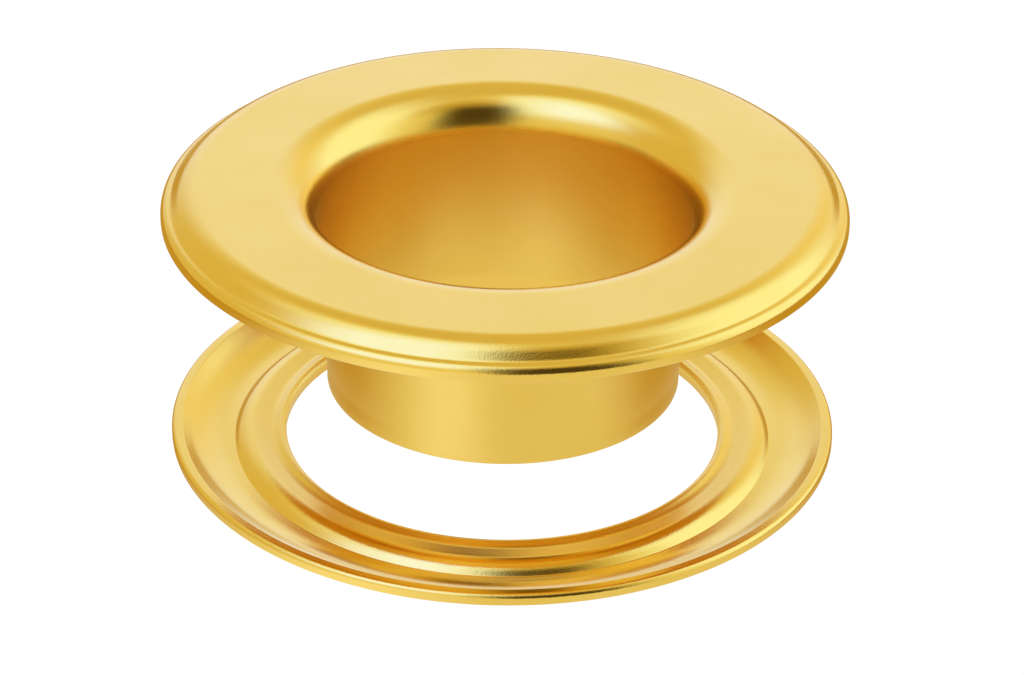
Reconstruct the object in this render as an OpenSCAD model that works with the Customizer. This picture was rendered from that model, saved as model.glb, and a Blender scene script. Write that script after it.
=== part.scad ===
// Two-piece eyelet pressed from thin sheet: a flanged eyelet with its barrel, and the washer that
// its barrel goes through, held one above the other on one upright axis as before they are set.
// Millimetres, Z up. The washer stands on the plane Z = 0 and both pieces turn about the Z axis.

/* [Sheet] */
// Thickness of the sheet that both pieces are pressed from
sheet_t = 0.3; // [0.2:0.02:0.34]

/* [Flange] */
// Outside diameter of the flange, over the bead at its edge
flange_d = 24; // [23.4:0.1:30]
// Height of the flat top above the turned-down edge
flange_h = 1.12; // [1.1:0.02:1.3]
// Slope of the shoulder, in degrees
shoulder_slope = 35; // [28:1:36]
// Radius that rounds the flat top into the shoulder
shoulder_r = 1.6; // [0.8:0.1:1.7]
// Distance from the outside diameter in to the corner where the shoulder meets the gutter
gutter_w = 0.33; // [0.3:0.01:0.4]
// Slope of the gutter behind the bead, in degrees
gutter_slope = 12; // [8:1:15]
// Radius that rounds the shoulder into the gutter
gutter_r = 0.5; // [0.3:0.05:0.7]
// How far the top of the bead stands over the gutter
gutter_sink = 0.01; // [0.01:0.01:0.03]
// Radius of the bead round the edge
flange_bead_r = 0.21; // [0.18:0.01:0.23]
// Height of the plain skirt under the bead
flange_skirt_h = 0.36; // [0.25:0.01:0.38]
// How far the bead stands out past that skirt
flange_bead_proud = 0.06; // [0.01:0.01:0.08]

/* [Barrel] */
// Bore of the straight end of the barrel
bore_d = 12; // [8:0.1:12.6]
// How far the tapered wall widens, on each side, from the bore to the level of the flat top
taper = 0.75; // [0.5:0.05:1.1]
// Radius that rounds the flat top into the throat
throat_r = 1.55; // [0.8:0.05:1.8]
// Height of the eyelet, from the flat top to the end of the barrel
eyelet_h = 7.7; // [5:0.05:12]
// Length of the straight end of the barrel
straight_end_h = 0.7; // [0.6:0.05:2]
// Radius that rounds the taper into the straight end
taper_blend_r = 1.5; // [0.5:0.1:2]

/* [Washer rim] */
// How much further in the washer's edge lies than the flange's, all round
washer_inset = 0.1; // [0:0.05:0.4]
// Height of the flat top of the rim above its lower edge
rim_h = 0.42; // [0.36:0.01:0.6]
// Width of the rim, from the dished valley to the outside diameter
rim_w = 0.39; // [0.34:0.01:0.6]
// Radius of the bead round the edge
washer_bead_r = 0.11; // [0.06:0.01:0.13]
// How far that bead stands out past the plain edge under it
washer_bead_proud = 0.03; // [0.01:0.01:0.04]
// Distance from the middle of the bead to the flat top of the rim
rim_groove_w = 0.06; // [0.02:0.01:0.08]
// Height of the flat top of the rim above the top of the bead
rim_step = 0.02; // [0.01:0.01:0.04]
// Radius over the inner edge of the rim
rim_edge_r = 0.06; // [0.03:0.01:0.1]

/* [Washer dish] */
// Depth of the valley below the flat top of the rim
valley_depth = 0.75; // [0.65:0.01:0.9]
// Slope of the valley's outer wall, in degrees
valley_slope = 41; // [36:1:46]
// Radius that rounds that wall into the valley's flat floor
valley_r = 2; // [1:0.1:2.2]
// Width of the rim and the valley, from the outside to the crease at the foot of the raised ring
valley_w = 2.25; // [2.1:0.05:2.4]
// Radius in that crease
crease_r = 0.06; // [0.03:0.01:0.1]
// Slope of the raised ring's outer flank, in degrees
ring_slope = 47; // [40:1:52]
// Height of the raised ring above the valley's floor
ring_h = 0.4; // [0.34:0.01:0.48]
// Radius over the raised ring
ring_r = 0.75; // [0.4:0.05:0.8]

/* [Washer hole] */
// Room between the barrel and the edge of the washer's hole, all round
hole_room = 1.45; // [1.2:0.05:1.6]
// Fall of the top from the raised ring to the hollow beside the hole, in degrees
hollow_slope = 7; // [2:1:10]
// Distance from the edge of the hole to that hollow
hollow_w = 0.54; // [0.45:0.01:0.6]
// Radius in the hollow
hollow_r = 0.5; // [0.1:0.05:0.6]
// Height of the edge of the hole above the hollow
collar_rise = 0.23; // [0.15:0.01:0.25]
// Radius over the edge of the hole
collar_edge_r = 0.2; // [0.14:0.01:0.23]
// Length of the collar turned down round the hole
collar_h = 0.64; // [0.5:0.01:0.68]
// Outward lean of the collar, in degrees
collar_lean = 7; // [0:1:10]

/* [Display] */
// Clear height between the washer's rim and the end of the barrel
lift = 1.65; // [1:0.05:12]

/* [Hidden] */
$fn = 96;
gold = [0.89, 0.74, 0.38];
// Radii are drawn this much larger than the straight runs that they join, so the two always cross
skin = 0.0002;

flange_r = flange_d / 2;
bore_r = bore_d / 2;
barrel_r = bore_r + sheet_t;
washer_r = flange_r - washer_inset;
crease_at = washer_r - valley_w;
hole_r = barrel_r + hole_room;

// Heights on the axis, counted up from the underside of the washer's valley
valley_z = sheet_t;
rim_z = valley_z + valley_depth;
washer_edge_z = rim_z - rim_h;
ring_z = valley_z + ring_h;
barrel_end_z = rim_z + lift;
flange_z = barrel_end_z + eyelet_h;
flange_edge_z = flange_z - flange_h;

// The gutter's floor runs into the bead a little under the line that would touch its top
flange_bead_z = flange_edge_z + flange_skirt_h + bead_seat(flange_bead_r, flange_bead_proud);
gutter_end_r = flange_r - flange_bead_r + (flange_bead_r - gutter_sink) * sin(gutter_slope);
gutter_end_z = flange_bead_z + (flange_bead_r - gutter_sink) * cos(gutter_slope);
gutter_corner_r = flange_r - gutter_w;
gutter_corner_z = gutter_end_z + (gutter_end_r - gutter_corner_r) * tan(gutter_slope);
shoulder_corner_r = gutter_corner_r - (flange_z - gutter_corner_z) / tan(shoulder_slope);

washer_bead_z = rim_z - rim_step - washer_bead_r;
rim_inner_r = washer_r - rim_w;
groove_inner_r = washer_r - washer_bead_r - rim_groove_w;
valley_corner_r = rim_inner_r - valley_depth / tan(valley_slope);
ring_corner_r = crease_at - ring_h / tan(ring_slope);
hollow_at = hole_r + hollow_w;
hollow_z = ring_z - (ring_corner_r - hollow_at) * tan(hollow_slope);
collar_z = hollow_z + collar_rise;

function unit(v) = v / norm(v);
function left_of(v) = [-v[1], v[0]];
function cross_of(a, b) = a[0] * b[1] - a[1] * b[0];
// Height of a bead's centre over the crease under it, when the bead stands proud of the face below
function bead_seat(r, proud) = sqrt(r * r - (r - proud) * (r - proud));

// A path is a list of corners [x, y, bend radius on the polished side]
function at(path, i) = [path[i][0], path[i][1]];
function heading(path, i) = unit(at(path, i + 1) - at(path, i));
function is_end(path, i) = i == 0 || i == len(path) - 1;
function turn(path, i) = acos(heading(path, i - 1) * heading(path, i));
function turns_left(path, i) = cross_of(heading(path, i - 1), heading(path, i)) > 0;
function setback(path, i) = is_end(path, i) ? 0 : path[i][2] * tan(turn(path, i) / 2);
function leave(path, i) = at(path, i) + setback(path, i) * heading(path, i);
function reach(path, i) = at(path, i) - setback(path, i) * heading(path, i - 1);

function outer_r(path, i) = turns_left(path, i) ? path[i][2] : path[i][2] + sheet_t;
function inner_r(path, i) = outer_r(path, i) - sheet_t;
// How far a run or a bend goes on past the point where they touch, for a surface of this radius
function lap(r) = r > 0 ? 1.5 * sqrt(2 * r * skin) : 0;
function run_lap(path, i, left_side) =
    is_end(path, i) || turns_left(path, i) != left_side ? 0 : lap(inner_r(path, i));

// Straight run of the sheet from corner i to the next, its thickness on the left of the path
module sheet_run(path, i) {
    along = heading(path, i);
    inward = sheet_t * left_of(along);
    a = leave(path, i);
    b = reach(path, i + 1);
    polygon([
        a - run_lap(path, i, false) * along,
        b + run_lap(path, i + 1, false) * along,
        b + run_lap(path, i + 1, true) * along + inward,
        a - run_lap(path, i, true) * along + inward
    ]);
}

// Bend of the sheet at corner i; a bend tighter than the sheet has a sharp inside
module sheet_bend(path, i) {
    big = outer_r(path, i);
    small = inner_r(path, i);
    side = turns_left(path, i) ? 1 : -1;
    in_dir = heading(path, i - 1);
    out_dir = heading(path, i);
    in_normal = side * left_of(in_dir);
    out_normal = side * left_of(out_dir);
    centre = reach(path, i) + path[i][2] * in_normal;
    middle = unit(in_normal + out_normal);
    a = centre - big * in_normal - lap(big) * in_dir;
    b = centre - big * out_normal + lap(big) * out_dir;
    to_sharp_inside = min(big, (sheet_t - big) / cos(turn(path, i) / 2));
    a_inside = centre + (small > 0 ? -small * in_normal : to_sharp_inside / 2 * middle);
    b_inside = small > 0 ? centre - small * out_normal : a_inside;
    intersection() {
        difference() {
            translate(centre) circle(r = big + skin);
            if (small > 0) translate(centre) circle(r = small + skin);
        }
        polygon([
            small > 0 ? centre : a_inside,
            a_inside,
            2 * a - a_inside,
            centre - 2 * big * middle,
            2 * b - b_inside,
            b_inside
        ]);
    }
}

module sheet_along(path) {
    for (i = [0 : len(path) - 2]) sheet_run(path, i);
    for (i = [1 : len(path) - 2]) sheet_bend(path, i);
}

// Turned-down edge of a piece: a plain skirt one sheet thick, and a bead proud of it at its top
module beaded_edge(outside_r, edge_z, bead_z, bead_r, proud) {
    translate([outside_r - bead_r, bead_z]) circle(r = bead_r);
    translate([outside_r - proud - sheet_t, edge_z]) square([sheet_t, bead_z - edge_z]);
}

module eyelet_section() {
    sheet_along([
        [gutter_end_r, gutter_end_z, 0],
        [gutter_corner_r, gutter_corner_z, gutter_r],
        [shoulder_corner_r, flange_z, shoulder_r],
        [bore_r + taper, flange_z, throat_r],
        [bore_r, barrel_end_z + straight_end_h, taper_blend_r],
        [bore_r, barrel_end_z, 0]
    ]);
    beaded_edge(flange_r, flange_edge_z, flange_bead_z, flange_bead_r, flange_bead_proud);
}

module washer_section() {
    sheet_along([
        [groove_inner_r, rim_z, 0],
        [rim_inner_r, rim_z, rim_edge_r],
        [valley_corner_r, valley_z, valley_r],
        [crease_at, valley_z, crease_r],
        [ring_corner_r, ring_z, ring_r],
        [hollow_at, hollow_z, hollow_r],
        [hole_r, collar_z, collar_edge_r],
        [hole_r + collar_h * tan(collar_lean), collar_z - collar_h, 0]
    ]);
    beaded_edge(washer_r, washer_edge_z, washer_bead_z, washer_bead_r, washer_bead_proud);
}

module eyelet() {
    color(gold) rotate_extrude() eyelet_section();
}

module washer() {
    color(gold) rotate_extrude() washer_section();
}

eyelet();
washer();
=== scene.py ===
"""Looks of a two-piece eyelet pressed from thin gold-coloured sheet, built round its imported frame.

The eyelet hangs above its washer on one upright axis. Each piece is one closed section of bent
sheet, turned about that axis. The sizes are those of the frame's solids, apart from the rolled
edges of the flange and of the washer's rim and the shoulder behind the flange's edge, which are
drawn here as they look on the finished piece. Sections are in millimetres, and everything else
is in metres.
"""

import logging
import math
from dataclasses import dataclass
from enum import Enum

import bpy
import numpy as np
from mathutils import Matrix, Vector

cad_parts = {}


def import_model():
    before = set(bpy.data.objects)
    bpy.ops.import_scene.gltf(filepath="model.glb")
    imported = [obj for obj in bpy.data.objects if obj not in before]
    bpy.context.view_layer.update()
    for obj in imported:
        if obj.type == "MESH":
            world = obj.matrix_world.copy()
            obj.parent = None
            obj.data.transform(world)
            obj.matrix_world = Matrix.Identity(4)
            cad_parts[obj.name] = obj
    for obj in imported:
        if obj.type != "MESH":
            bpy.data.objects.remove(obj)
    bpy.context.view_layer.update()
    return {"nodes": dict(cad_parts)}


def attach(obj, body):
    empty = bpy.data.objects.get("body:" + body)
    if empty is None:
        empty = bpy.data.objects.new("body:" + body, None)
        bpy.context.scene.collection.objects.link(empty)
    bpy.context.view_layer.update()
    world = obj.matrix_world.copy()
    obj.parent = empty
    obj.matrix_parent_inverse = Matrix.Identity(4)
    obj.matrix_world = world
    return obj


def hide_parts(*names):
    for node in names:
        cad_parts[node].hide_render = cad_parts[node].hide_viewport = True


LOG = logging.getLogger("eyelet_scene")
Point = tuple[float, float]
Rgb = tuple[float, float, float]

# A millimetre in metres
MM = 0.001
# Shortest side that an arc is cut into, in millimetres
SHORTEST = 0.014
# Angles between the points of an arc, in degrees: on polished bends, on hidden bends, on rolled
# edges, and on the small rounding of a sheared corner
BEND_STEP = 3.0
HIDDEN_STEP = 5.0
ROLL_STEP = 4.97
CORNER_STEP = 18.0
# Places of the colour sockets on a Mix node, where names alone don't tell them apart
MIX_FIRST = 6
MIX_SECOND = 7
MIX_RESULT = 2
# Noise up to which the plating is thick, and from which it is thin
THICK_NOISE = 0.35
THIN_NOISE = 0.65


class Side(Enum):
    """Which way a bend turns, seen along a path whose sheet lies on its left."""

    TO_SHEET = 1
    FROM_SHEET = -1


@dataclass(frozen=True)
class Bend:
    """A corner of a sheet's path, in millimetres from the axis and the floor.

    Args:
        r: Distance from the axis.
        z: Height over the floor.
        radius: Radius of the bend on the polished side of the sheet.
    """

    r: float
    z: float
    radius: float = 0.0

    @property
    def place(self) -> np.ndarray:
        """The corner as a vector."""
        return np.array([self.r, self.z])


def unit(vector: np.ndarray) -> np.ndarray:
    """The vector at length one."""
    return vector / np.linalg.norm(vector)


def left_of(vector: np.ndarray) -> np.ndarray:
    """The vector turned a quarter turn to its left."""
    return np.array([-vector[1], vector[0]])


def tan_deg(angle: float) -> float:
    """Tangent of an angle in degrees."""
    return math.tan(math.radians(angle))


def arc(
    centre: np.ndarray, start: np.ndarray, end: np.ndarray, step: float = BEND_STEP
) -> list[Point]:
    """Points of the shorter arc about a centre.

    Args:
        centre: Centre of the arc.
        start: First point, which sets the radius.
        end: A point in the direction where the arc ends.
        step: Angle between points in degrees, which grows on the smallest arcs.

    Returns:
        The points, with both ends.
    """
    a = start - centre
    b = end - centre
    radius = float(np.linalg.norm(a))
    first = math.atan2(a[1], a[0])
    sweep = math.atan2(a[0] * b[1] - a[1] * b[0], float(a @ b))
    angle = max(step, math.degrees(SHORTEST / radius))
    count = max(2, math.ceil(abs(math.degrees(sweep)) / angle))
    angles = [first + sweep * i / count for i in range(count + 1)]
    return [(centre[0] + radius * math.cos(t), centre[1] + radius * math.sin(t)) for t in angles]


def run(start: Point, end: Point, spacing: float = 0.3, margin: float = 0.03) -> list[Point]:
    """Points inside a straight run, with one close to each end so that its shading stays flat.

    Args:
        start: Where the run starts.
        end: Where it ends.
        spacing: Largest distance between points.
        margin: Distance of the first and last point from the ends.

    Returns:
        The points between the ends, without the ends.
    """
    a = np.array(start)
    b = np.array(end)
    length = float(np.linalg.norm(b - a))
    if length < 3 * margin:
        return []
    count = max(1, math.ceil((length - 2 * margin) / spacing))
    along = [margin + (length - 2 * margin) * i / count for i in range(count + 1)]
    return [tuple(a + (b - a) * s / length) for s in along]


def joined(*stretches: list[Point]) -> list[Point]:
    """One line through several stretches of points, with straight runs between them.

    Args:
        stretches: The stretches, in order.

    Returns:
        The points of the line, each some way from the one before.
    """
    line: list[Point] = []
    for stretch in stretches:
        if line:
            line += run(line[-1], stretch[0])
        for point in stretch:
            if not line or math.dist(point, line[-1]) > SHORTEST / 10:
                line.append(point)
    return line


def softened(before: Point, corner: Point, after: Point, radius: float) -> list[Point]:
    """A sheared corner with its burr rubbed off.

    Args:
        before: A point on the way in to the corner.
        corner: The corner.
        after: A point on the way out.
        radius: Radius to round it with.

    Returns:
        The points of the rounded corner.
    """
    c = np.array(corner)
    u = unit(c - np.array(before))
    v = unit(np.array(after) - c)
    turn = math.acos(max(-1.0, min(1.0, float(u @ v))))
    back = radius * math.tan(turn / 2)
    centre = c - back * u + radius * unit(v - u * float(u @ v))
    return arc(centre, c - back * u, c + back * v, CORNER_STEP)


@dataclass(frozen=True)
class SheetStrip:
    """A sheet of even thickness that follows a path of bends, its thickness on the left.

    Args:
        bends: The corners, from the edge of the piece towards the axis.
        thickness: Thickness of the sheet.
    """

    bends: tuple[Bend, ...]
    thickness: float

    def heading(self, i: int) -> np.ndarray:
        """Direction of the run from corner i to the next."""
        return unit(self.bends[i + 1].place - self.bends[i].place)

    def bend_points(self, i: int) -> tuple[list[Point], list[Point]]:
        """Both sides of the sheet round the bend at corner i.

        Args:
            i: Number of the corner, not the first or the last.

        Returns:
            The polished side and the hidden side.
        """
        u = self.heading(i - 1)
        v = self.heading(i)
        bend = self.bends[i]
        side = Side.TO_SHEET if u[0] * v[1] - u[1] * v[0] > 0 else Side.FROM_SHEET
        turn = math.acos(float(u @ v))
        back = bend.radius * math.tan(turn / 2)
        reach = bend.place - back * u
        leave = bend.place + back * v
        centre = reach + side.value * bend.radius * left_of(u)
        polished = arc(centre, reach, leave)
        if side is Side.TO_SHEET and bend.radius <= self.thickness:
            inside = self.thickness * (left_of(u) + left_of(v)) / (1 + float(u @ v))
            return polished, [tuple(bend.place + inside)]
        start = reach + self.thickness * left_of(u)
        end = leave + self.thickness * left_of(v)
        return polished, arc(centre, start, end, HIDDEN_STEP)

    def sides(self) -> tuple[list[Point], list[Point]]:
        """Both sides of the whole strip, end to end.

        Returns:
            The polished side and the hidden side, both from the first corner to the last.
        """
        last = len(self.bends) - 1
        start = self.bends[0].place
        end = self.bends[last].place
        polished = [[tuple(start)]]
        hidden = [[tuple(start + self.thickness * left_of(self.heading(0)))]]
        for i in range(1, last):
            outer, inner = self.bend_points(i)
            polished.append(outer)
            hidden.append(inner)
        polished.append([tuple(end)])
        hidden.append([tuple(end + self.thickness * left_of(self.heading(last - 1)))])
        return joined(*polished), joined(*hidden)


@dataclass(frozen=True)
class RolledEdge:
    """The roll that turns a piece's edge down into its skirt.

    Args:
        outside_r: Largest radius of the piece.
        edge_z: Height of the skirt's lower edge.
        z: Height of the roll's centre, where the skirt starts.
        r: Radius of the roll.
        thickness: Thickness of the skirt.
    """

    outside_r: float
    edge_z: float
    z: float
    r: float
    thickness: float

    @property
    def centre(self) -> np.ndarray:
        """Centre of the roll."""
        return np.array([self.outside_r - self.r, self.z])

    @property
    def inner_r(self) -> float:
        """Inside radius of the skirt."""
        return self.outside_r - self.thickness

    @property
    def foot(self) -> Point:
        """Where the roll runs into the outside of the skirt."""
        return self.outside_r, self.z

    def beyond(self, line: list[Point]) -> list[Point]:
        """The part of a line that lies past the roll.

        Args:
            line: Points of a line that starts inside the roll.

        Returns:
            The point on the roll's surface where the line comes out, and the rest of the line.
        """
        centre = tuple(self.centre)
        first = next(i for i, point in enumerate(line) if math.dist(point, centre) >= self.r)
        inside = np.array(line[first - 1])
        start = inside - self.centre
        along = unit(np.array(line[first]) - inside)
        half = float(start @ along)
        length = -half + math.sqrt(half**2 - float(start @ start) + self.r**2)
        way_out = tuple(inside + length * along)
        rest = [point for point in line[first:] if math.dist(point, way_out) > SHORTEST / 2]
        return [way_out, *rest]

    def under(self, line: list[Point]) -> list[Point]:
        """The hidden side of the sheet, up to the inside of the skirt.

        Args:
            line: The hidden side, from inside the roll towards the axis.

        Returns:
            The point where it reaches the skirt's inside, and the rest of the line.
        """
        rest = [point for point in line if point[0] < self.inner_r - SHORTEST]
        slope = (rest[0][1] - rest[1][1]) / (rest[0][0] - rest[1][0])
        return [(self.inner_r, rest[0][1] + slope * (self.inner_r - rest[0][0])), *rest]

    def skirt(self, inner_top: Point, softness: float, edge_r: float) -> list[Point]:
        """The skirt's inside, lower edge and outside, up to the foot of the roll.

        Args:
            inner_top: Where the skirt's inside starts, at its top.
            softness: Radius on the lower edge's inner corner.
            edge_r: Radius on its outer corner.

        Returns:
            The points from the inner top round to the foot of the roll.
        """
        inner = (self.inner_r, self.edge_z)
        outer = (self.outside_r, self.edge_z)
        return joined(
            [inner_top],
            softened(inner_top, inner, outer, softness),
            softened(inner, outer, self.foot, edge_r),
            [self.foot],
        )

    def over(self, end: Point) -> list[Point]:
        """The roll's outside from its foot up and over to a point."""
        return arc(self.centre, np.array(self.foot), np.array(end), ROLL_STEP)


@dataclass
class SheetSizes:
    """Sizes that both pieces share, in millimetres.

    Args:
        thickness: Thickness of the sheet.
        softness: Radius that the press leaves on a sheared corner.
        edge_r: Radius on the outside of a turned-down skirt's lower edge.
        steps_around: Number of sides that a turned piece is made with.
        crease: Angle in degrees past which an edge is shaded sharp.
    """

    thickness: float = 0.3
    softness: float = 0.03
    edge_r: float = 0.08
    steps_around: int = 460
    crease: float = 28.0


@dataclass
class Washer:
    """The washer: a rolled rim, a dished valley, a raised ring and a collar round the hole.

    Lengths are in millimetres, and the slopes and the lean are in degrees.

    Args:
        sheet: Sizes shared with the eyelet.
        outside_r: Radius over the rolled edge.
        rim_h: Height of the rim's flat top over its lower edge.
        rim_w: Width of the rim, from the valley's wall to the outside.
        roll_r: Radius of the rolled edge.
        rim_edge_r: Radius over the inner edge of the rim.
        valley_depth: Depth of the valley below the rim's flat top.
        valley_slope: Slope of the valley's outer wall.
        valley_r: Radius that rounds that wall into the valley's floor.
        valley_w: Width of the rim and the valley, from the outside to the crease.
        crease_r: Radius in the crease at the foot of the raised ring.
        ring_slope: Slope of the ring's outer flank.
        ring_h: Height of the ring over the valley's floor.
        ring_r: Radius over the ring.
        hole_r: Radius of the hole, at the edge over the collar.
        hollow_slope: Fall of the top from the ring to the hollow beside the hole.
        hollow_w: Distance from the edge of the hole to the hollow.
        hollow_r: Radius in the hollow.
        collar_rise: Height of the edge of the hole over the hollow.
        collar_edge_r: Radius over the edge of the hole.
        collar_h: Length of the collar turned down round the hole.
        collar_lean: Outward lean of the collar.
    """

    sheet: SheetSizes
    outside_r: float = 11.9
    rim_h: float = 0.42
    rim_w: float = 0.39
    roll_r: float = 0.17
    rim_edge_r: float = 0.06
    valley_depth: float = 0.75
    valley_slope: float = 41.0
    valley_r: float = 2.0
    valley_w: float = 2.25
    crease_r: float = 0.06
    ring_slope: float = 47.0
    ring_h: float = 0.4
    ring_r: float = 0.75
    hole_r: float = 7.75
    hollow_slope: float = 7.0
    hollow_w: float = 0.54
    hollow_r: float = 0.5
    collar_rise: float = 0.23
    collar_edge_r: float = 0.2
    collar_h: float = 0.64
    collar_lean: float = 7.0

    @property
    def rim_z(self) -> float:
        """Height of the rim's flat top."""
        return self.sheet.thickness + self.valley_depth

    @property
    def roll(self) -> RolledEdge:
        """The rolled edge of the rim."""
        return RolledEdge(
            outside_r=self.outside_r,
            edge_z=self.rim_z - self.rim_h,
            z=self.rim_z - self.roll_r,
            r=self.roll_r,
            thickness=self.sheet.thickness,
        )

    def strip(self) -> SheetStrip:
        """The sheet from the top of the rolled edge to the end of the collar.

        Returns:
            The strip, its bends in order from the rim.
        """
        valley_z = self.sheet.thickness
        ring_z = valley_z + self.ring_h
        rim_inner_r = self.outside_r - self.rim_w
        valley_corner_r = rim_inner_r - self.valley_depth / tan_deg(self.valley_slope)
        crease_at = self.outside_r - self.valley_w
        ring_corner_r = crease_at - self.ring_h / tan_deg(self.ring_slope)
        hollow_at = self.hole_r + self.hollow_w
        hollow_z = ring_z - (ring_corner_r - hollow_at) * tan_deg(self.hollow_slope)
        collar_z = hollow_z + self.collar_rise
        collar_end_r = self.hole_r + self.collar_h * tan_deg(self.collar_lean)
        return SheetStrip(
            bends=(
                Bend(self.outside_r - self.roll_r, self.rim_z),
                Bend(rim_inner_r, self.rim_z, self.rim_edge_r),
                Bend(valley_corner_r, valley_z, self.valley_r),
                Bend(crease_at, valley_z, self.crease_r),
                Bend(ring_corner_r, ring_z, self.ring_r),
                Bend(hollow_at, hollow_z, self.hollow_r),
                Bend(self.hole_r, collar_z, self.collar_edge_r),
                Bend(collar_end_r, collar_z - self.collar_h),
            ),
            thickness=self.sheet.thickness,
        )

    def section(self) -> list[Point]:
        """Outlines the washer's section.

        Returns:
            The closed outline, from the inside of the skirt round to it again.
        """
        polished, hidden = self.strip().sides()
        roll = self.roll
        inside = roll.under(hidden)
        soft = self.sheet.softness
        tip = polished[-1]
        tip_back = hidden[-1]
        return joined(
            roll.skirt(inside[0], soft, self.sheet.edge_r),
            roll.over(polished[0])[1:],
            polished[1:-1],
            softened(polished[-2], tip, tip_back, soft),
            softened(tip, tip_back, hidden[-2], soft),
            inside[-2:0:-1],
        )


@dataclass
class Eyelet:
    """The eyelet: a rolled flange with a sloping shoulder, a rounded throat and a tapered barrel.

    Lengths are in millimetres, and the slopes are in degrees.

    Args:
        sheet: Sizes shared with the washer.
        flange_r: Radius over the flange's rolled edge.
        flange_h: Height of the flat top over the skirt's lower edge.
        shoulder_slope: Slope of the shoulder.
        shoulder_r: Radius that rounds the flat top into the shoulder.
        gutter_w: Distance from the outside in to the corner of the shoulder and the gutter.
        gutter_slope: Slope of the gutter behind the roll.
        gutter_r: Radius that rounds the shoulder into the gutter.
        gutter_sink: How far the roll's top stands over the gutter.
        roll_r: Radius of the rolled edge.
        skirt_h: Height of the plain skirt under the roll.
        bore_r: Radius of the bore at the straight end of the barrel.
        taper: How far the wall widens from the bore up to the level of the flat top.
        throat_r: Radius that rounds the flat top into the throat.
        height: Height of the eyelet, from the flat top to the end of the barrel.
        straight_end_h: Length of the straight end of the barrel.
        taper_blend_r: Radius that rounds the taper into the straight end.
        barrel_end_z: Height of the barrel's end over the floor.
    """

    sheet: SheetSizes
    flange_r: float = 12.0
    flange_h: float = 1.12
    shoulder_slope: float = 46.0
    shoulder_r: float = 1.05
    gutter_w: float = 0.33
    gutter_slope: float = 10.0
    gutter_r: float = 0.3
    gutter_sink: float = 0.01
    roll_r: float = 0.34
    skirt_h: float = 0.225
    bore_r: float = 6.0
    taper: float = 0.75
    throat_r: float = 1.55
    height: float = 7.7
    straight_end_h: float = 0.7
    taper_blend_r: float = 1.5
    barrel_end_z: float = 2.7

    @property
    def top_z(self) -> float:
        """Height of the flange's flat top."""
        return self.barrel_end_z + self.height

    @property
    def roll(self) -> RolledEdge:
        """The rolled edge of the flange."""
        edge_z = self.top_z - self.flange_h
        return RolledEdge(
            outside_r=self.flange_r,
            edge_z=edge_z,
            z=edge_z + self.skirt_h,
            r=self.roll_r,
            thickness=self.sheet.thickness,
        )

    def strip(self) -> SheetStrip:
        """The sheet from inside the flange's rolled edge to the end of the barrel.

        Returns:
            The strip, its bends in order from the flange's edge.
        """
        tilt = math.radians(self.gutter_slope)
        reach = self.roll_r - self.gutter_sink
        end_r = self.flange_r - self.roll_r + reach * math.sin(tilt)
        end_z = self.roll.z + reach * math.cos(tilt)
        corner_r = self.flange_r - self.gutter_w
        corner_z = end_z + (end_r - corner_r) * math.tan(tilt)
        shoulder_at = corner_r - (self.top_z - corner_z) / tan_deg(self.shoulder_slope)
        return SheetStrip(
            bends=(
                Bend(end_r, end_z),
                Bend(corner_r, corner_z, self.gutter_r),
                Bend(shoulder_at, self.top_z, self.shoulder_r),
                Bend(self.bore_r + self.taper, self.top_z, self.throat_r),
                Bend(self.bore_r, self.barrel_end_z + self.straight_end_h, self.taper_blend_r),
                Bend(self.bore_r, self.barrel_end_z),
            ),
            thickness=self.sheet.thickness,
        )

    def section(self) -> list[Point]:
        """Outlines the eyelet's section.

        Returns:
            The closed outline, from the inside of the skirt round to it again.
        """
        polished, hidden = self.strip().sides()
        roll = self.roll
        outside = roll.beyond(polished)
        inside = roll.under(hidden)
        soft = self.sheet.softness
        end = polished[-1]
        end_back = hidden[-1]
        return joined(
            roll.skirt(inside[0], soft, self.sheet.edge_r),
            roll.over(outside[0])[1:],
            outside[:-1],
            softened(polished[-2], end, end_back, soft),
            softened(end, end_back, hidden[-2], soft),
            inside[-2:0:-1],
        )


class SocketKind(Enum):
    """Kinds of sockets on a node group."""

    GEOMETRY = "NodeSocketGeometry"
    FLOAT = "NodeSocketFloat"
    INTEGER = "NodeSocketInt"
    MATERIAL = "NodeSocketMaterial"
    COLOUR = "NodeSocketColor"
    VECTOR = "NodeSocketVector"


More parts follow.
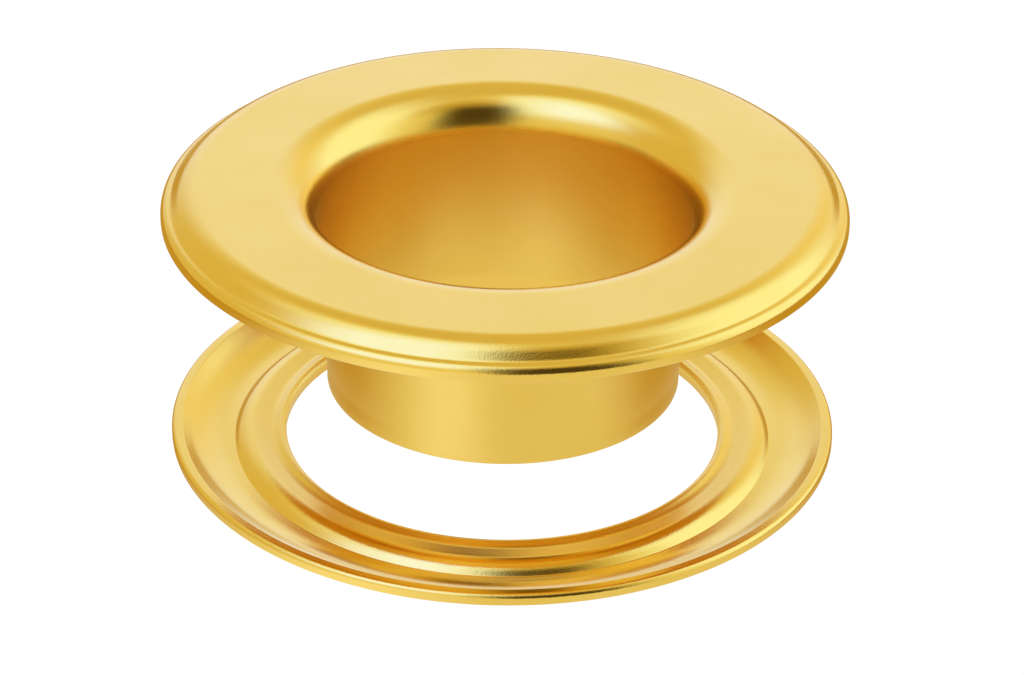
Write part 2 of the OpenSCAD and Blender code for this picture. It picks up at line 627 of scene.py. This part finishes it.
@dataclass(frozen=True)
class Turning:
    """Node tree that turns a closed section about the upright axis.

    Args:
        name: Name of the tree.
        guide_r: Radius of the circle that carries the section, in metres.
    """

    name: str = "turned_section"
    guide_r: float = 0.009

    def tree(self) -> bpy.types.GeometryNodeTree:
        """The node tree, built on first use.

        Returns:
            A tree with the inputs Section, Guide Radius, Steps and Metal.
        """
        made = bpy.data.node_groups.get(self.name)
        if made is not None:
            return made
        tree = bpy.data.node_groups.new(self.name, "GeometryNodeTree")
        face = tree.interface
        face.new_socket("Section", in_out="INPUT", socket_type=SocketKind.GEOMETRY.value)
        face.new_socket("Guide Radius", in_out="INPUT", socket_type=SocketKind.FLOAT.value)
        face.new_socket("Steps", in_out="INPUT", socket_type=SocketKind.INTEGER.value)
        face.new_socket("Metal", in_out="INPUT", socket_type=SocketKind.MATERIAL.value)
        face.new_socket("Piece", in_out="OUTPUT", socket_type=SocketKind.GEOMETRY.value)
        given = tree.nodes.new("NodeGroupInput")
        result = tree.nodes.new("NodeGroupOutput")
        circle = tree.nodes.new("GeometryNodeCurvePrimitiveCircle")
        outline = tree.nodes.new("GeometryNodeMeshToCurve")
        sweep = tree.nodes.new("GeometryNodeCurveToMesh")
        realize = tree.nodes.new("GeometryNodeRealizeInstances")
        dress = tree.nodes.new("GeometryNodeSetMaterial")
        link = tree.links.new
        link(given.outputs["Steps"], circle.inputs["Resolution"])
        link(given.outputs["Guide Radius"], circle.inputs["Radius"])
        link(given.outputs["Section"], outline.inputs["Mesh"])
        link(circle.outputs["Curve"], sweep.inputs["Curve"])
        link(outline.outputs["Curve"], sweep.inputs["Profile Curve"])
        link(sweep.outputs["Mesh"], realize.inputs["Geometry"])
        link(realize.outputs["Geometry"], dress.inputs["Geometry"])
        link(given.outputs["Metal"], dress.inputs["Material"])
        link(dress.outputs["Geometry"], result.inputs["Piece"])
        return tree

    def piece(
        self,
        name: str,
        outline: list[Point],
        steps: int,
        metal: bpy.types.Material,
        crease_angle: float,
    ) -> bpy.types.Object:
        """Turns an outline into a finished piece.

        Args:
            name: Name of the piece.
            outline: Closed outline in millimetres, counter-clockwise with the radius to the right.
            steps: Number of steps round the axis.
            metal: Material of the piece.
            crease_angle: Angle in degrees past which an edge is shaded sharp.

        Returns:
            The piece as a plain mesh object at the origin.
        """
        places = [(r * MM - self.guide_r, -z * MM, 0.0) for r, z in reversed(outline)]
        count = len(places)
        section = bpy.data.meshes.new(f"{name}_section")
        section.from_pydata(places, [(i, (i + 1) % count) for i in range(count)], [])
        holder = bpy.data.objects.new(f"{name}_section", section)
        bpy.context.collection.objects.link(holder)
        turn = holder.modifiers.new("turn", "NODES")
        turn.node_group = self.tree()
        values = {"Guide Radius": self.guide_r, "Steps": steps, "Metal": metal}
        for socket in turn.node_group.interface.items_tree:
            if socket.name in values:
                turn[socket.identifier] = values[socket.name]
        graph = bpy.context.evaluated_depsgraph_get()
        mesh = bpy.data.meshes.new_from_object(holder.evaluated_get(graph))
        bpy.data.objects.remove(holder)
        mesh.name = name
        mesh.shade_smooth()
        mesh.set_sharp_from_angle(angle=math.radians(crease_angle))
        piece = bpy.data.objects.new(name, mesh)
        bpy.context.collection.objects.link(piece)
        return piece


def group_tree(
    name: str, inputs: dict[str, tuple[SocketKind, float | tuple]], outputs: dict[str, SocketKind]
) -> bpy.types.ShaderNodeTree:
    """An empty shader node group with named sockets.

    Args:
        name: Name of the group.
        inputs: Kind and first value of each input.
        outputs: Kind of each output.

    Returns:
        The group, with its input and output nodes.
    """
    tree = bpy.data.node_groups.new(name, "ShaderNodeTree")
    for title, (kind, value) in inputs.items():
        socket = tree.interface.new_socket(title, in_out="INPUT", socket_type=kind.value)
        socket.default_value = value
    for title, kind in outputs.items():
        tree.interface.new_socket(title, in_out="OUTPUT", socket_type=kind.value)
    tree.nodes.new("NodeGroupInput").name = "given"
    tree.nodes.new("NodeGroupOutput").name = "result"
    return tree


def noise(tree: bpy.types.NodeTree, detail: float, roughness: float) -> bpy.types.Node:
    """A three-dimensional noise node.

    Args:
        tree: Tree that gets the node.
        detail: Number of finer layers in the noise.
        roughness: Strength of the finer layers.

    Returns:
        The node.
    """
    node = tree.nodes.new("ShaderNodeTexNoise")
    node.noise_dimensions = "3D"
    node.inputs["Detail"].default_value = detail
    node.inputs["Roughness"].default_value = roughness
    return node


def maths(
    tree: bpy.types.NodeTree, operation: str, *values: bpy.types.NodeSocket | float
) -> bpy.types.NodeSocket:
    """A maths node.

    Args:
        tree: Tree that gets the node.
        operation: What the node works out.
        values: Numbers or sockets that it reads, in order.

    Returns:
        The node's output.
    """
    node = tree.nodes.new("ShaderNodeMath")
    node.operation = operation
    for socket, value in zip(node.inputs, values):
        if isinstance(value, bpy.types.NodeSocket):
            tree.links.new(value, socket)
        else:
            socket.default_value = value
    return node.outputs[0]


def mixed(
    tree: bpy.types.NodeTree,
    share: bpy.types.NodeSocket,
    first: bpy.types.NodeSocket,
    second: bpy.types.NodeSocket | Rgb,
) -> bpy.types.NodeSocket:
    """Mixes two colours.

    Args:
        tree: Tree that gets the node.
        share: Share of the second colour.
        first: First colour.
        second: Second colour, as a socket or as its red, green and blue.

    Returns:
        The mixed colour.
    """
    node = tree.nodes.new("ShaderNodeMix")
    node.data_type = "RGBA"
    tree.links.new(share, node.inputs["Factor"])
    tree.links.new(first, node.inputs[MIX_FIRST])
    if isinstance(second, bpy.types.NodeSocket):
        tree.links.new(second, node.inputs[MIX_SECOND])
    else:
        node.inputs[MIX_SECOND].default_value = (*second, 1.0)
    return node.outputs[MIX_RESULT]


def grain_group() -> bpy.types.ShaderNodeTree:
    """The height of the fine satin grain that tumbling leaves on plated sheet.

    Returns:
        The node group, which is built on its first use.
    """
    name = "satin_grain"
    made = bpy.data.node_groups.get(name)
    if made is not None:
        return made
    tree = group_tree(
        name,
        {
            "Place": (SocketKind.VECTOR, (0.0, 0.0, 0.0)),
            "Grains Per Metre": (SocketKind.FLOAT, 10000.0),
            "Waves Per Metre": (SocketKind.FLOAT, 1000.0),
            "Waves": (SocketKind.FLOAT, 0.3),
        },
        {"Height": SocketKind.FLOAT},
    )
    given = tree.nodes["given"]
    result = tree.nodes["result"]
    grains = noise(tree, detail=2.0, roughness=0.6)
    waves = noise(tree, detail=1.0, roughness=0.5)
    mix = tree.nodes.new("ShaderNodeMix")
    link = tree.links.new
    link(given.outputs["Place"], grains.inputs["Vector"])
    link(given.outputs["Grains Per Metre"], grains.inputs["Scale"])
    link(given.outputs["Place"], waves.inputs["Vector"])
    link(given.outputs["Waves Per Metre"], waves.inputs["Scale"])
    link(given.outputs["Waves"], mix.inputs["Factor"])
    link(grains.outputs["Fac"], mix.inputs["A"])
    link(waves.outputs["Fac"], mix.inputs["B"])
    link(mix.outputs["Result"], result.inputs["Height"])
    return tree


def drift_group() -> bpy.types.ShaderNodeTree:
    """A slow drift between two values, as between thicker and thinner plating.

    Returns:
        The node group, which is built on its first use.
    """
    name = "plating_drift"
    made = bpy.data.node_groups.get(name)
    if made is not None:
        return made
    tree = group_tree(
        name,
        {
            "Place": (SocketKind.VECTOR, (0.0, 0.0, 0.0)),
            "Patches Per Metre": (SocketKind.FLOAT, 300.0),
            "Thick Colour": (SocketKind.COLOUR, (0.9, 0.65, 0.2, 1.0)),
            "Thin Colour": (SocketKind.COLOUR, (0.85, 0.6, 0.18, 1.0)),
            "Smooth Roughness": (SocketKind.FLOAT, 0.2),
            "Dull Roughness": (SocketKind.FLOAT, 0.3),
        },
        {"Colour": SocketKind.COLOUR, "Roughness": SocketKind.FLOAT},
    )
    given = tree.nodes["given"]
    result = tree.nodes["result"]
    patches = noise(tree, detail=3.0, roughness=0.55)
    spread = tree.nodes.new("ShaderNodeMapRange")
    spread.inputs["From Min"].default_value = THICK_NOISE
    spread.inputs["From Max"].default_value = THIN_NOISE
    gloss = tree.nodes.new("ShaderNodeMix")
    link = tree.links.new
    link(given.outputs["Place"], patches.inputs["Vector"])
    link(given.outputs["Patches Per Metre"], patches.inputs["Scale"])
    link(patches.outputs["Fac"], spread.inputs["Value"])
    thick = given.outputs["Thick Colour"]
    colour = mixed(tree, spread.outputs["Result"], thick, given.outputs["Thin Colour"])
    link(colour, result.inputs["Colour"])
    link(spread.outputs["Result"], gloss.inputs["Factor"])
    link(given.outputs["Smooth Roughness"], gloss.inputs["A"])
    link(given.outputs["Dull Roughness"], gloss.inputs["B"])
    link(gloss.outputs["Result"], result.inputs["Roughness"])
    return tree


def wall_group() -> bpy.types.ShaderNodeTree:
    """Makes a drawn wall near the axis duller than the pressed flange round it.

    Returns:
        The node group, which is built on its first use.
    """
    name = "drawn_wall"
    made = bpy.data.node_groups.get(name)
    if made is not None:
        return made
    tree = group_tree(
        name,
        {
            "Place": (SocketKind.VECTOR, (0.0, 0.0, 0.0)),
            "Roughness": (SocketKind.FLOAT, 0.2),
            "Wall Radius": (SocketKind.FLOAT, 0.007),
            "Blend Width": (SocketKind.FLOAT, 0.0004),
            "Wall Roughness": (SocketKind.FLOAT, 0.4),
        },
        {"Roughness": SocketKind.FLOAT},
    )
    given = tree.nodes["given"]
    result = tree.nodes["result"]
    split = tree.nodes.new("ShaderNodeSeparateXYZ")
    link = tree.links.new
    link(given.outputs["Place"], split.inputs["Vector"])
    east = maths(tree, "MULTIPLY", split.outputs["X"], split.outputs["X"])
    north = maths(tree, "MULTIPLY", split.outputs["Y"], split.outputs["Y"])
    radius = maths(tree, "SQRT", maths(tree, "ADD", east, north))
    fade = tree.nodes.new("ShaderNodeMapRange")
    fade.interpolation_type = "SMOOTHSTEP"
    link(radius, fade.inputs["Value"])
    link(given.outputs["Wall Radius"], fade.inputs["From Max"])
    inner = maths(tree, "SUBTRACT", given.outputs["Wall Radius"], given.outputs["Blend Width"])
    link(inner, fade.inputs["From Min"])
    link(given.outputs["Wall Roughness"], fade.inputs["To Min"])
    link(given.outputs["Roughness"], fade.inputs["To Max"])
    link(fade.outputs["Result"], result.inputs["Roughness"])
    return tree


@dataclass(frozen=True)
class SatinGold:
    """Satin gold plating on pressed brass.

    Args:
        name: Name of the material.
        colour: Colour where the plating is thick.
        thin_colour: Colour where it is thinner.
        smooth: Roughness where the plating is rubbed.
        dull: Roughness where it isn't.
        wall_r: Distance from the axis within which the sheet is a drawn wall, in metres.
        wall_dull: Roughness of that wall, which the drawing die leaves duller.
        grains: Grains to a metre.
        relief: Depth of the grain in metres.
        waves: Share of the slow waves in the grain.
    """

    name: str
    colour: Rgb = (0.94, 0.645, 0.15)
    thin_colour: Rgb = (0.92, 0.625, 0.13)
    smooth: float = 0.13
    dull: float = 0.16
    wall_r: float = 0.0069
    wall_dull: float = 0.30
    grains: float = 18000.0
    relief: float = 0.0000045
    waves: float = 0.04

    def material(self) -> bpy.types.Material:
        """Builds the material.

        Returns:
            The material, which reads object coordinates only.
        """
        material = bpy.data.materials.new(self.name)
        material.use_nodes = True
        tree = material.node_tree
        shader = tree.nodes["Principled BSDF"]
        shader.inputs["Metallic"].default_value = 1.0
        place = tree.nodes.new("ShaderNodeTexCoord")
        drift = tree.nodes.new("ShaderNodeGroup")
        drift.node_tree = drift_group()
        drift.inputs["Thick Colour"].default_value = (*self.colour, 1.0)
        drift.inputs["Thin Colour"].default_value = (*self.thin_colour, 1.0)
        drift.inputs["Smooth Roughness"].default_value = self.smooth
        drift.inputs["Dull Roughness"].default_value = self.dull
        grain = tree.nodes.new("ShaderNodeGroup")
        grain.node_tree = grain_group()
        grain.inputs["Grains Per Metre"].default_value = self.grains
        grain.inputs["Waves"].default_value = self.waves
        wall = tree.nodes.new("ShaderNodeGroup")
        wall.node_tree = wall_group()
        wall.inputs["Wall Radius"].default_value = self.wall_r
        wall.inputs["Wall Roughness"].default_value = self.wall_dull
        bump = tree.nodes.new("ShaderNodeBump")
        bump.inputs["Distance"].default_value = self.relief
        link = tree.links.new
        for group in (drift, grain, wall):
            link(place.outputs["Object"], group.inputs["Place"])
        link(drift.outputs["Colour"], shader.inputs["Base Color"])
        link(drift.outputs["Roughness"], wall.inputs["Roughness"])
        link(wall.outputs["Roughness"], shader.inputs["Roughness"])
        link(grain.outputs["Height"], bump.inputs["Height"])
        link(bump.outputs["Normal"], shader.inputs["Normal"])
        return material


def patch_group() -> bpy.types.ShaderNodeTree:
    """How much of a soft-edged patch of the surroundings lies in a direction.

    Returns:
        The node group, which is built on its first use.
    """
    name = "soft_patch"
    made = bpy.data.node_groups.get(name)
    if made is not None:
        return made
    angle = (SocketKind.FLOAT, 0.0)
    tree = group_tree(
        name,
        {
            "Azimuth": angle,
            "Elevation": angle,
            "Patch Azimuth": angle,
            "Patch Elevation": angle,
            "Half Width": angle,
            "Half Height": angle,
            "Soft Edge": angle,
        },
        {"Share": SocketKind.FLOAT},
    )
    given = tree.nodes["given"]
    result = tree.nodes["result"]
    link = tree.links.new
    shares = []
    for direction, half in (("Azimuth", "Half Width"), ("Elevation", "Half Height")):
        middle = given.outputs[f"Patch {direction}"]
        offset = maths(tree, "SUBTRACT", given.outputs[direction], middle)
        turn = maths(tree, "WRAP", offset, -math.pi, math.pi)
        apart = maths(tree, "ABSOLUTE", turn)
        fade = tree.nodes.new("ShaderNodeMapRange")
        fade.interpolation_type = "SMOOTHSTEP"
        fade.inputs["To Min"].default_value = 1.0
        fade.inputs["To Max"].default_value = 0.0
        near = maths(tree, "SUBTRACT", given.outputs[half], given.outputs["Soft Edge"])
        far = maths(tree, "ADD", given.outputs[half], given.outputs["Soft Edge"])
        link(apart, fade.inputs["Value"])
        link(near, fade.inputs["From Min"])
        link(far, fade.inputs["From Max"])
        shares.append(fade.outputs["Result"])
    link(maths(tree, "MULTIPLY", *shares), result.inputs["Share"])
    return tree


@dataclass(frozen=True)
class SoftPatch:
    """A soft-edged patch of the surroundings, such as a soft box or the dark room between two.

    Args:
        name: What the patch is.
        azimuth: Direction of its middle, in degrees from the camera's side towards the right.
        elevation: Height of its middle over the horizon, in degrees.
        half_width: Half of its width, in degrees.
        half_height: Half of its height, in degrees.
        light: Its red, green and blue, where 1 is white paper.
        softness: Half of the width of its soft edge, in degrees.
    """

    name: str
    azimuth: float
    elevation: float
    half_width: float
    half_height: float
    light: Rgb
    softness: float = 8.0

    def paint(
        self,
        tree: bpy.types.NodeTree,
        azimuth: bpy.types.NodeSocket,
        elevation: bpy.types.NodeSocket,
        under: bpy.types.NodeSocket,
    ) -> bpy.types.NodeSocket:
        """Paints the patch over what is there.

        Args:
            tree: Node tree of the surroundings.
            azimuth: Azimuth of the direction that is looked at, in radians.
            elevation: Its elevation, in radians.
            under: Colour that the patch is painted over.

        Returns:
            The colour with the patch on it.
        """
        patch = tree.nodes.new("ShaderNodeGroup")
        patch.node_tree = patch_group()
        patch.label = self.name
        patch.inputs["Patch Azimuth"].default_value = math.radians(self.azimuth)
        patch.inputs["Patch Elevation"].default_value = math.radians(self.elevation)
        patch.inputs["Half Width"].default_value = math.radians(self.half_width)
        patch.inputs["Half Height"].default_value = math.radians(self.half_height)
        patch.inputs["Soft Edge"].default_value = math.radians(self.softness)
        tree.links.new(azimuth, patch.inputs["Azimuth"])
        tree.links.new(elevation, patch.inputs["Elevation"])
        return mixed(tree, patch.outputs["Share"], under, self.light)


@dataclass(frozen=True)
class PhotoCamera:
    """The photograph's camera, from the fit of the part's round edges to their places in it.

    Args:
        pitch: Angle that it looks down by, in degrees.
        roll: Turn about its own axis, in degrees.
        focal_px: Focal length in pixels of the photograph.
        image_px: Width of the photograph in pixels.
        distance: Distance along the view to the anchor, in metres.
        right: The anchor's place right of the view's axis, in metres.
        up: The anchor's place above the view's axis, in metres.
        anchor_z: Height of the anchor on the part's axis, in metres.
        sensor_mm: Width of the sensor in millimetres.
        near: Distance from which the camera sees, in metres.
        far: Distance up to which it sees, in metres.
    """

    pitch: float = 29.738
    roll: float = 0.894
    focal_px: float = 3432.5
    image_px: float = 1024.0
    distance: float = 0.12
    right: float = -0.0002362
    up: float = 0.0044825
    anchor_z: float = 0.00928
    sensor_mm: float = 36.0
    near: float = 0.001
    far: float = 10.0

    def build(self) -> bpy.types.Object:
        """Builds the camera and makes it the scene's own.

        Returns:
            The camera's object.
        """
        data = bpy.data.cameras.new("photo_camera")
        data.sensor_width = self.sensor_mm
        data.lens = self.focal_px / self.image_px * self.sensor_mm
        data.clip_start = self.near
        data.clip_end = self.far
        pitch = math.radians(self.pitch)
        tilt = Matrix.Rotation(pitch - math.pi / 2, 3, "X")
        turn = Matrix.Rotation(-math.radians(self.roll), 3, "Z")
        to_camera = turn @ tilt
        offset = Vector((self.right, self.up, -self.distance))
        place = Vector((0.0, 0.0, self.anchor_z)) - to_camera.transposed() @ offset
        camera = bpy.data.objects.new("photo_camera", data)
        camera.matrix_world = Matrix.Translation(place) @ to_camera.transposed().to_4x4()
        bpy.context.collection.objects.link(camera)
        bpy.context.scene.camera = camera
        return camera


@dataclass
class Studio:
    """Plain pale floor with painted light and shade in its glow, and a painted room with soft boxes
    round the part.

    Args:
        floor_size: Side of the floor in metres.
        floor_glow: Light of the floor in the part's reflections, warmed by the gold over it.
        white: Light of the floor and the room as the camera sees them.
        room: Light of the room where nothing else is painted, as red, green and blue.
        patches: What is painted on the room, in order.
        floor_patches: Painted light, painted shade and a painted gold reflection on the floor's
        light, in order, with the distance from the axis in place of the elevation.
        floor_degrees: Degrees of a floor patch to a metre of that distance.
        floor_far: Degrees past which the floor's light stays the same.
    """

    floor_size: float = 4.0
    floor_glow: Rgb = (0.84, 0.82, 0.68)
    white: Rgb = (1.05, 1.05, 1.05)
    room: Rgb = (0.88, 0.86, 0.55)
    patches: tuple[SoftPatch, ...] = (
        SoftPatch("rear low", 179.0, 6.0, 44.0, 28.0, (0.96, 1.06, 1.45), 8.0),
        SoftPatch("rear high", 152.0, 66.0, 76.0, 26.0, (0.74, 0.65, 0.33), 12.0),
        SoftPatch("left box top", -53.0, 61.0, 59.0, 25.0, (1.04, 1.3, 1.9), 13.0),
        SoftPatch("left side", -111.0, 13.0, 40.0, 37.0, (0.76, 0.66, 0.31), 20.0),
        SoftPatch("left box", -50.0, 55.0, 28.0, 20.0, (1.06, 1.47, 4.0), 17.0),
        SoftPatch("right box", 104.0, 23.5, 32.0, 40.0, (1.09, 1.36, 1.9), 17.0),
        SoftPatch("right rear", 150.0, 15.0, 13.0, 28.0, (0.95, 0.9, 0.6), 16.0),
        SoftPatch("gap top", 34.0, 62.0, 32.0, 14.0, (0.62, 0.5, 0.16), 12.0),
        SoftPatch("gap", 19.0, 24.0, 24.5, 36.0, (0.07, 0.05, 0.015), 10.0),
        SoftPatch("box foot", -11.0, 4.0, 8.0, 16.0, (0.95, 0.9, 0.6), 6.0),
    )
    floor_patches: tuple[SoftPatch, ...] = (
        # Painted gold reflection and painted shade: behind and beside the part the floor glows a dim
        # gold
        SoftPatch("painted gold reflection and shade behind and beside the part", 180.0, 120.0, 115.0, 80.0, (0.58, 0.38, 0.06), 22.0),
        # Painted pool of light: the floor under the left soft box glows brighter and bluer
        SoftPatch("painted pool of light under the left box", -27.0, 120.0, 15.0, 80.0, (1.02, 1.08, 1.2), 15.0),
        # Painted light: within about 7 mm of the axis, where the bore looks down, the floor glows an
        # even warm white
        SoftPatch("painted floor light under the bore", 0.0, 0.0, 190.0, 36.0, (0.9, 0.86, 0.7), 6.0),
    )
    floor_degrees: float = 5000.0
    floor_far: float = 160.0

    def shown(self, tree: bpy.types.NodeTree, light: bpy.types.NodeSocket) -> bpy.types.NodeSocket:
        """Shows plain white to the camera, and the painted light to everything else.

        Args:
            tree: Node tree of the floor or of the surroundings.
            light: The painted light.

        Returns:
            The colour that is shown.
        """
        path = tree.nodes.new("ShaderNodeLightPath")
        return mixed(tree, path.outputs["Is Camera Ray"], light, self.white)

    def floor(self) -> bpy.types.Object:
        """Builds the floor. It shows plain white to the camera, and to the part's reflections a warm
        glow with painted light, painted shade and a painted gold reflection on it.

        Returns:
            The floor's object.
        """
        half = self.floor_size / 2
        mesh = bpy.data.meshes.new("floor")
        corners = [(-half, -half, 0.0), (half, -half, 0.0), (half, half, 0.0), (-half, half, 0.0)]
        mesh.from_pydata(corners, [], [(0, 1, 2, 3)])
        floor = bpy.data.objects.new("floor", mesh)
        bpy.context.collection.objects.link(floor)
        paper = bpy.data.materials.new("floor_paper")
        paper.use_nodes = True
        tree = paper.node_tree
        tree.nodes.clear()
        place = tree.nodes.new("ShaderNodeTexCoord")
        split = tree.nodes.new("ShaderNodeSeparateXYZ")
        tree.links.new(place.outputs["Object"], split.inputs["Vector"])
        towards = maths(tree, "MULTIPLY", split.outputs["Y"], -1.0)
        azimuth = maths(tree, "ARCTAN2", split.outputs["X"], towards)
        length = tree.nodes.new("ShaderNodeVectorMath")
        length.operation = "LENGTH"
        tree.links.new(place.outputs["Object"], length.inputs[0])
        scale = math.radians(self.floor_degrees)
        angle = maths(tree, "MULTIPLY", length.outputs["Value"], scale)
        distance = maths(tree, "MINIMUM", angle, math.radians(self.floor_far))
        plain = tree.nodes.new("ShaderNodeRGB")
        plain.outputs[0].default_value = (*self.floor_glow, 1.0)
        colour = plain.outputs[0]
        # Painted light, painted shade and a painted gold reflection on the floor's glow
        for patch in self.floor_patches:
            colour = patch.paint(tree, azimuth, distance, colour)
        light = tree.nodes.new("ShaderNodeEmission")
        surface = tree.nodes.new("ShaderNodeOutputMaterial")
        tree.links.new(self.shown(tree, colour), light.inputs["Color"])
        tree.links.new(light.outputs["Emission"], surface.inputs["Surface"])
        mesh.materials.append(paper)
        return floor

    def world(self) -> None:
        """Paints the surroundings and sets the way that colours are shown."""
        world = bpy.data.worlds.new("painted_room")
        world.use_nodes = True
        tree = world.node_tree
        place = tree.nodes.new("ShaderNodeTexCoord")
        split = tree.nodes.new("ShaderNodeSeparateXYZ")
        tree.links.new(place.outputs["Generated"], split.inputs["Vector"])
        towards = maths(tree, "MULTIPLY", split.outputs["Y"], -1.0)
        azimuth = maths(tree, "ARCTAN2", split.outputs["X"], towards)
        elevation = maths(tree, "ARCSINE", split.outputs["Z"])
        room = tree.nodes.new("ShaderNodeRGB")
        room.outputs[0].default_value = (*self.room, 1.0)
        colour = room.outputs[0]
        for patch in self.patches:
            colour = patch.paint(tree, azimuth, elevation, colour)
        tree.links.new(self.shown(tree, colour), tree.nodes["Background"].inputs["Color"])
        bpy.context.scene.world = world
        bpy.context.scene.view_settings.view_transform = "Standard"
        bpy.context.scene.view_settings.look = "None"

    def build(self) -> None:
        """Builds the whole studio."""
        self.floor()
        self.world()


def main() -> None:
    """Builds the part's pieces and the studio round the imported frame."""
    logging.basicConfig(level=logging.INFO, format="%(name)s: %(message)s")
    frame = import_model()
    LOG.info("frame has the nodes %s", ", ".join(sorted(frame["nodes"])))
    sheet = SheetSizes()
    turning = Turning()
    plating = {
        "eyelet": SatinGold(name="eyelet_gold"),
        "washer": SatinGold(
            name="washer_gold", smooth=0.15, dull=0.18, wall_r=0.0091, wall_dull=0.25
        ),
    }
    for name, piece in (("eyelet", Eyelet(sheet)), ("washer", Washer(sheet))):
        metal = plating[name].material()
        outline = piece.section()
        made = turning.piece(f"{name}_sheet", outline, sheet.steps_around, metal, sheet.crease)
        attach(made, "root")
        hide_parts(name)
        # As in the photograph, the barrel and the bore don't mirror the washer
        made.visible_glossy = name == "eyelet"
        LOG.info("%s has %d faces", made.name, len(made.data.polygons))
    Studio().build()
    PhotoCamera().build()


if __name__ == "__main__":
    main()
